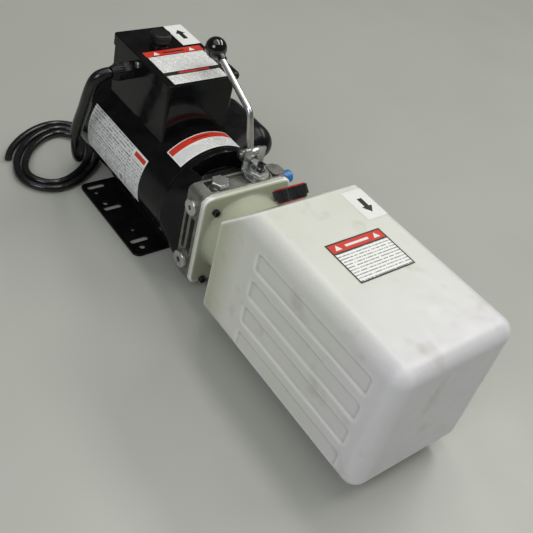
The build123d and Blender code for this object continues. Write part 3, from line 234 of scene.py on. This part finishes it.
# ---- finishes of the record's material slots ----------------------------------------------------
grey_wear = rgb(0.22, 0.22, 0.22)
finishes = {
    "black_paint": make_finish("black_enamel", rgb(0.004, 0.004, 0.0045), rgb(0.008, 0.008, 0.009), (0.08, 0.20),
                               grain=420, grain_depth=0.012, wave_depth=0.12, edge=0.9, worn=rgb(0.05, 0.05, 0.05),
                               specular=0.2),
    "satin_black_paint": make_finish("satin_enamel", rgb(0.006, 0.006, 0.007), rgb(0.012, 0.012, 0.012), (0.2, 0.34),
                                     grain=650, grain_depth=0.02, edge=0.9, worn=rgb(0.05, 0.05, 0.05),
                                     specular=0.25),
    "cast_aluminium": make_finish("cast_aluminium", rgb(0.19, 0.19, 0.175), rgb(0.30, 0.30, 0.275), (0.38, 0.56),
                                  metallic=0.8, patch=60, grain=1100, grain_depth=0.07, edge=0.9,
                                  worn=rgb(0.68, 0.68, 0.66)),
    "zinc_plate": make_finish("zinc_plate", rgb(0.58, 0.60, 0.61), rgb(0.74, 0.74, 0.71), (0.26, 0.38),
                              metallic=1.0, patch=60, grain=900, grain_depth=0.008, edge=0.5,
                              worn=rgb(0.85, 0.85, 0.85)),
    "steel": make_finish("ground_steel", rgb(0.42, 0.42, 0.43), rgb(0.58, 0.58, 0.58), (0.22, 0.38),
                         metallic=1.0, patch=160, grain=1200, grain_depth=0.01, edge=0.4, stretch=(1, 0.2, 1)),
    "black_steel": make_finish("black_oxide", rgb(0.012, 0.012, 0.013), rgb(0.03, 0.03, 0.032), (0.3, 0.5),
                               metallic=0.5, patch=150, grain=900, grain_depth=0.02, edge=0.4, worn=grey_wear),
    "copper": make_finish("enamelled_copper", rgb(0.42, 0.16, 0.07), rgb(0.62, 0.28, 0.14), (0.25, 0.4),
                          metallic=0.9, patch=300, grain=500, grain_depth=0.2, stretch=(0.05, 1, 1)),
    "lamination": make_finish("steel_laminations", rgb(0.12, 0.12, 0.13), rgb(0.24, 0.24, 0.25), (0.4, 0.6),
                              metallic=0.9, patch=900, grain=1400, grain_depth=0.06, stretch=(1, 0.02, 0.02)),
    "white_polyethylene": make_polyethylene(),
    "black_plastic": make_finish("moulded_plastic", rgb(0.007, 0.007, 0.008), rgb(0.014, 0.014, 0.015), (0.26, 0.42),
                                 grain=1500, grain_depth=0.03, edge=0.7, worn=rgb(0.05, 0.05, 0.05),
                                 specular=0.35),
    "gloss_black_plastic": make_finish("phenolic_resin", rgb(0.003, 0.003, 0.003), rgb(0.007, 0.007, 0.007),
                                       (0.05, 0.10), grain=300, grain_depth=0.004, edge=0.4, coat=0.7),
    "red_plastic": make_finish("red_plastic", rgb(0.42, 0.015, 0.008), rgb(0.60, 0.03, 0.015), (0.28, 0.42),
                               grain=900, grain_depth=0.02, edge=0.6),
    "blue_plastic": make_finish("blue_plastic", rgb(0.01, 0.10, 0.34), rgb(0.02, 0.17, 0.48), (0.25, 0.38),
                                grain=900, grain_depth=0.02, edge=0.8),
    "black_rubber": make_finish("black_rubber", rgb(0.006, 0.006, 0.007), rgb(0.012, 0.012, 0.012), (0.14, 0.30),
                                patch=80, grain=1000, grain_depth=0.015, edge=0.5),
    "olive_rubber": make_finish("olive_rubber", rgb(0.16, 0.15, 0.03), rgb(0.24, 0.22, 0.05), (0.45, 0.6),
                                grain=1200, grain_depth=0.03, edge=0.4),
    "white_plastic": make_finish("white_nylon", rgb(0.66, 0.66, 0.63), rgb(0.76, 0.76, 0.73), (0.35, 0.5),
                                 grain=900, grain_depth=0.02, edge=0.5),
    "chrome_steel": make_finish("bearing_steel", rgb(0.70, 0.70, 0.72), rgb(0.80, 0.80, 0.82), (0.06, 0.12),
                                metallic=1.0, grain=300, grain_depth=0.002, edge=0.3),
}
slot_of = {entry["node"]: entry["material_slot"] for entry in frame["record"]["subparts"]}
for node_name, slot_name in slot_of.items():
    mesh = nodes[node_name].data
    mesh.materials.clear()
    mesh.materials.append(finishes[slot_name])

paper_white = make_paper("paper_white", rgb(0.78, 0.78, 0.76))
paper_red = make_paper("paper_red", rgb(0.60, 0.03, 0.012))
paper_black = make_paper("paper_black", rgb(0.012, 0.012, 0.012))
small_print = make_printed("small_print", rgb(0.80, 0.80, 0.79), rgb(0.10, 0.10, 0.11), 2.9, 0.8, 0.78)
panel_print = make_printed("panel_print", rgb(0.82, 0.82, 0.81), rgb(0.06, 0.06, 0.06), 4.4, 0.9, 0.80)
plate_print = make_printed("plate_print", rgb(0.66, 0.67, 0.68), rgb(0.04, 0.04, 0.05), 4.6, 1.6, 0.55)
INKS = [paper_white, paper_red, paper_black, small_print, panel_print, plate_print]


# ---- printed sheets -----------------------------------------------------------------------------
# Outlines are in millimetres. On flat sheets they are places in the shared frame. On the round shell
# one direction is a place along the motor and the other is a length around the shell.
def rectangle(along_0, along_1, down_0, down_1):
    return ("rectangle", along_0, along_1, down_0, down_1)


def polygon(*points):
    return ("polygon", points)


def sheet_grid(bm, uv_layer, place, shape, low, high, ink, step):
    """Closed thin slab over a rectangle, divided finely enough to follow a curved surface."""
    _, along_0, along_1, down_0, down_1 = shape
    columns = max(1, ceil((along_1 - along_0) / step))
    rows = max(1, ceil((down_1 - down_0) / step))
    layers = []
    for height in (low, high):
        layers.append([[bm.verts.new(place(along_0 + (along_1 - along_0) * i / columns,
                                           down_0 + (down_1 - down_0) * j / rows, height))
                        for i in range(columns + 1)] for j in range(rows + 1)])
    under, over = layers

    def face(corners, spots):
        made = bm.faces.new(corners)
        made.material_index = ink
        for loop, (i, j) in zip(made.loops, spots):
            loop[uv_layer].uv = (along_0 + (along_1 - along_0) * i / columns,
                                 -(down_0 + (down_1 - down_0) * j / rows))

    for j in range(rows):
        for i in range(columns):
            spots = [(i, j), (i, j + 1), (i + 1, j + 1), (i + 1, j)]
            face([over[b][a] for a, b in spots], spots)
            face([under[b][a] for a, b in reversed(spots)], list(reversed(spots)))
    rim = [(i, 0) for i in range(columns)] + [(columns, j) for j in range(rows)]
    rim += [(i, rows) for i in range(columns, 0, -1)] + [(0, j) for j in range(rows, 0, -1)]
    for spot, following in zip(rim, rim[1:] + rim[:1]):
        corners = [under[spot[1]][spot[0]], over[spot[1]][spot[0]],
                   over[following[1]][following[0]], under[following[1]][following[0]]]
        face(corners, [spot, spot, following, following])


def sheet_prism(bm, uv_layer, place, shape, low, high, ink):
    """Closed thin slab over any small outline."""
    points = shape[1]
    under = [bm.verts.new(place(along, down, low)) for along, down in points]
    over = [bm.verts.new(place(along, down, high)) for along, down in points]
    count = len(points)
    faces = [bm.faces.new(over), bm.faces.new(list(reversed(under)))]
    faces += [bm.faces.new((under[i], under[(i + 1) % count], over[(i + 1) % count], over[i]))
              for i in range(count)]
    for made in faces:
        made.material_index = ink
        for loop in made.loops:
            loop[uv_layer].uv = (0, 0)


def make_sheet(name, body, place, prints, step=4.0):
    """One label: a stack of thin prints. place(along, down, height) turns millimetres into a point."""
    bm = bmesh.new()
    uv_layer = bm.loops.layers.uv.new("sheet")
    for layer, (material, shape) in enumerate(prints):
        low = SHEET_UNDER_MM if layer == 0 else 0.0
        high = SHEET_OVER_MM + PRINT_STEP_MM * min(layer, 3)
        ink = INKS.index(material)
        if shape[0] == "rectangle":
            sheet_grid(bm, uv_layer, place, shape, low, high, ink, step)
        else:
            sheet_prism(bm, uv_layer, place, shape, low, high, ink)
    bmesh.ops.recalc_face_normals(bm, faces=bm.faces)
    mesh = bpy.data.meshes.new(name)
    bm.to_mesh(mesh)
    bm.free()
    for material in INKS:
        mesh.materials.append(material)
    piece = bpy.data.objects.new(name, mesh)
    bpy.context.scene.collection.objects.link(piece)
    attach(piece, body)
    return piece


def arrow(tip, length, half_width, shaft_half, head, along, direction):
    """Plain arrow outline that points along the down axis in a direction of 1 or -1."""
    back = tip - direction * length
    neck = tip - direction * head
    return polygon((along, tip), (along - half_width, neck), (along - shaft_half, neck), (along - shaft_half, back),
                   (along + shaft_half, back), (along + shaft_half, neck), (along + half_width, neck))


def triangle(along, down, size):
    """Plain triangle, its point towards the top of the label."""
    return polygon((along, down - size * 0.55), (along - size * 0.6, down + size * 0.45),
                   (along + size * 0.6, down + size * 0.45))


shell_low, shell_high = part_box("motor_shell")
shaft_z = (shell_low.z + shell_high.z) / 2
shell_radius = (shell_high.z - shell_low.z) / 2
tank_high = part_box("tank")[1]
lid_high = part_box("box_lid")[1]
degrees_per_mm = 180 / (pi * shell_radius / MM)
tank_flat_z = max(v.co.z for v in nodes["tank"].data.vertices if v.co.x > tank_high.x - 0.1)


def on_lid(along, down, height):
    """Along runs across the unit, down runs from the motor to the tank."""
    return Vector((down * MM, along * MM, lid_high.z + height * MM))


def on_tank(along, down, height):
    """Along runs across the flat top and over its rounded edges."""
    y = along * MM
    past = max(0.0, abs(y) - (tank_high.y - TANK_ROUND))
    drop = TANK_ROUND - sqrt(TANK_ROUND ** 2 - past ** 2)
    lean = past / TANK_ROUND
    return Vector((down * MM, y + (1 if y > 0 else -1) * lean * height * MM,
                   tank_flat_z - drop + sqrt(1 - lean ** 2) * height * MM))


def on_shell(angle, x, height):
    """Point of the motor shell at an angle in degrees from +Y towards +Z."""
    reach = shell_radius + height * MM
    return Vector((x, reach * cos(radians(angle)), shaft_z + reach * sin(radians(angle))))


make_sheet("lid_arrow_sticker", "unit", on_lid, [
    (paper_white, rectangle(24, 53, -98, -43)),
    (paper_black, arrow(-84, 25, 7.5, 3.6, 10, 38.5, -1)),
])
make_sheet("lid_notice", "unit", on_lid, [
    (paper_black, rectangle(-44.5, 47, -38.5, 45.5)),
    (paper_red, rectangle(-44, 46.5, -38, -25.5)),
    (small_print, rectangle(-43, 44, -24, 16)),
    (small_print, rectangle(-43, 40, 24, 45)),
    (paper_red, rectangle(-22, 26, 18, 22)),
    (paper_white, triangle(-27, -31.5, 8)),
    (paper_white, triangle(29, -31.5, 8)),
    (paper_black, rectangle(-15, 17, -33, -30)),
])


def on_plate(along, down, height):
    """Nameplate on the near side of the shell: along the motor, then down around it."""
    return on_shell(149.4 + down * degrees_per_mm, along * MM, height)


make_sheet("nameplate", "unit", on_plate, [
    (plate_print, rectangle(-98, 51, 0, 70)),
    (paper_white, rectangle(16, 51, 0, 12)),
    (paper_red, rectangle(21, 48, 3, 9.5)),
    (paper_black, rectangle(-96, 13, 17, 17.5)),
    (paper_black, rectangle(-96, 13, 35, 35.5)),
    (paper_black, rectangle(13, 13.5, 14, 66)),
    (paper_black, rectangle(-42, -41.5, 17, 66)),
    (paper_white, rectangle(-4, 11, 50, 66)),
    (paper_black, rectangle(-1, 8, 53, 63)),
])


def on_band(along, down, height):
    """Curved notice over the front of the shell: along the curve, then towards the tank."""
    return on_shell(96 - along * degrees_per_mm, down * MM, height)


make_sheet("shell_notice", "unit", on_band, [
    (paper_white, rectangle(-50.5, 50.5, 65.5, 100.5)),
    (paper_red, rectangle(-49, 49, 67, 78)),
    (small_print, rectangle(-48, 48, 80, 99)),
    (paper_black, rectangle(-12, 12, 71.7, 73.3)),
])
make_sheet("tank_arrow_sticker", "unit", on_tank, [
    (paper_white, rectangle(43, 75, 291, 343.5)),
    (paper_black, arrow(333, 26, 8, 3.6, 11, 59, 1)),
])
make_sheet("tank_notice", "unit", on_tank, [
    (paper_black, rectangle(-39, 44.5, 359, 423)),
    (paper_red, rectangle(-37, 42.5, 361, 374)),
    (panel_print, rectangle(-37, 42.5, 376, 421)),
    (paper_white, triangle(-26.5, 367.5, 8)),
    (paper_white, triangle(32, 367.5, 8)),
    (paper_white, rectangle(-15, 20, 366, 369.5)),
])


# ---- tank skin ------------------------------------------------------------------------------------
def soft_copy(node, name, voxel, passes, keep):
    """Copy of a CAD node whose sharp edges are softened as moulded plastic, on an even mesh."""
    mesh = nodes[node].data.copy()
    mesh.name = name
    piece = bpy.data.objects.new(name, mesh)
    bpy.context.scene.collection.objects.link(piece)
    remesh = piece.modifiers.new("even", "REMESH")
    remesh.mode = "VOXEL"
    remesh.voxel_size = voxel
    remesh.use_smooth_shade = True
    smooth = piece.modifiers.new("soften", "SMOOTH")
    smooth.factor = 0.5
    smooth.iterations = passes
    thin = piece.modifiers.new("thin", "DECIMATE")
    thin.ratio = keep
    graph = bpy.context.evaluated_depsgraph_get()
    final = bpy.data.meshes.new_from_object(piece.evaluated_get(graph))
    piece.modifiers.clear()
    piece.data = final
    final.name = name
    for face in final.polygons:
        face.use_smooth = True
    return piece


tank_skin = soft_copy("tank", "tank_skin", voxel=1.5 * MM, passes=4, keep=0.25)
tank_skin.data.materials.clear()
tank_skin.data.materials.append(finishes["white_polyethylene"])
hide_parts("tank")
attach(tank_skin, "unit")


# ---- springs and rubber boot ------------------------------------------------------------------------
def flexible_copy(joint, flex):
    """Copy of a spring or boot on the joint's parent body, in place of the hidden CAD node. Its fixed end and axis
    are worked out, but nothing shortens the copy.
    """
    node = flex["node"]
    letter = flex["mode"][-1]
    along = "xyz".index(letter)
    fixed = flex["fixed_end_" + letter + "_m"]
    axis, anchor = Vector((0, 0, 0)), Vector((0, 0, 0))
    axis[along], anchor[along] = 1, fixed
    piece = bpy.data.objects.new(node + "_flexible", nodes[node].data.copy())
    bpy.context.scene.collection.objects.link(piece)
    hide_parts(node)
    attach(piece, joint["parent"])
    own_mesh(piece)


for moving in frame["joints"]:
    for shortened in moving.get("deforming_nodes", []):
        flexible_copy(moving, shortened)


# ---- floor, light and camera ------------------------------------------------------------------------
def make_floor():
    """Plain pale floor, just under the lowest point of the unit."""
    bpy.ops.mesh.primitive_plane_add(size=40, location=(0, 0, -0.0002))
    floor = bpy.context.object
    floor.name = "floor"
    shader = Shader("floor_paint")
    cloud = shader.spread(shader.noise(1.6, 5.0), 0.3, 0.7)
    colour = shader.mix(cloud, rgb(0.385, 0.39, 0.36), rgb(0.405, 0.41, 0.38))
    gloss = shader.spread(shader.noise(7.0, 6.0), 0.3, 0.7, 0.30, 0.42)
    grain = shader.bump(shader.noise(260.0, 3.0), 0.08 * MM)
    floor.data.materials.append(shader.finish(Base_Color=colour, Roughness=gloss, Normal=grain))


def make_light(name, place, aim, size, power, colour):
    light = bpy.data.lights.new(name, "AREA")
    light.shape = "RECTANGLE"
    light.size, light.size_y = size
    light.energy = power
    light.color = colour
    lamp = bpy.data.objects.new(name, light)
    lamp.location = place
    lamp.rotation_euler = (Vector(aim) - Vector(place)).to_track_quat("-Z", "Y").to_euler()
    bpy.context.scene.collection.objects.link(lamp)


def make_world():
    """Even fill light. Glossy surfaces see a dark room with a bright ceiling instead."""
    world = bpy.data.worlds.new("studio")
    world.use_nodes = True
    tree = world.node_tree
    background = tree.nodes["Background"]
    background.inputs["Color"].default_value = rgb(0.86, 0.88, 0.84)
    direction = tree.nodes.new("ShaderNodeTexCoord")
    split = tree.nodes.new("ShaderNodeSeparateXYZ")
    ceiling = tree.nodes.new("ShaderNodeMapRange")
    room = {"From Min": 0.80, "From Max": 0.92, "To Min": 0.07, "To Max": 1.1}
    for socket, value in room.items():
        ceiling.inputs[socket].default_value = value
    path = tree.nodes.new("ShaderNodeLightPath")
    choice = tree.nodes.new("ShaderNodeMix")
    choice.inputs[2].default_value = FILL_STRENGTH
    tree.links.new(direction.outputs["Generated"], split.inputs[0])
    tree.links.new(split.outputs[2], ceiling.inputs["Value"])
    tree.links.new(path.outputs["Is Glossy Ray"], choice.inputs[0])
    tree.links.new(ceiling.outputs[0], choice.inputs[3])
    tree.links.new(choice.outputs[0], background.inputs["Strength"])
    bpy.context.scene.world = world


def make_camera():
    """Camera at the photograph's angle. Its axes are made square to each other here."""
    data = bpy.data.cameras.new("camera")
    data.sensor_width = 36.0
    data.lens = 53.63
    data.clip_end = 30.0
    camera = bpy.data.objects.new("camera", data)
    right = Vector((0.5780, 0.7891, 0.2079))
    up = Vector((-0.6309, 0.2706, 0.7272))
    back = right.cross(up).normalized()
    right = up.cross(back).normalized()
    up = back.cross(right)
    turn = Matrix((right, up, back)).transposed().to_4x4()
    camera.matrix_world = Matrix.Translation((0.7874, -0.5755, 0.7595)) @ turn
    bpy.context.scene.collection.objects.link(camera)
    bpy.context.scene.camera = camera


make_floor()
make_light("tube_far", (0.3, 2.0, 2.3), (0.15, 0, 0.1), (2.4, 0.5), 30, (1.0, 0.99, 0.94))
make_light("tube_near", (0.2, 0.5, 2.5), (0.15, 0, 0.1), (2.4, 0.3), 17, (1.0, 0.99, 0.94))
make_light("window", (0.9, -2.1, 1.8), (0.25, 0, 0.1), (1.2, 1.2), 20, (0.93, 0.94, 1.0))
make_world()
make_camera()
bpy.context.scene.view_settings.view_transform = "Standard"
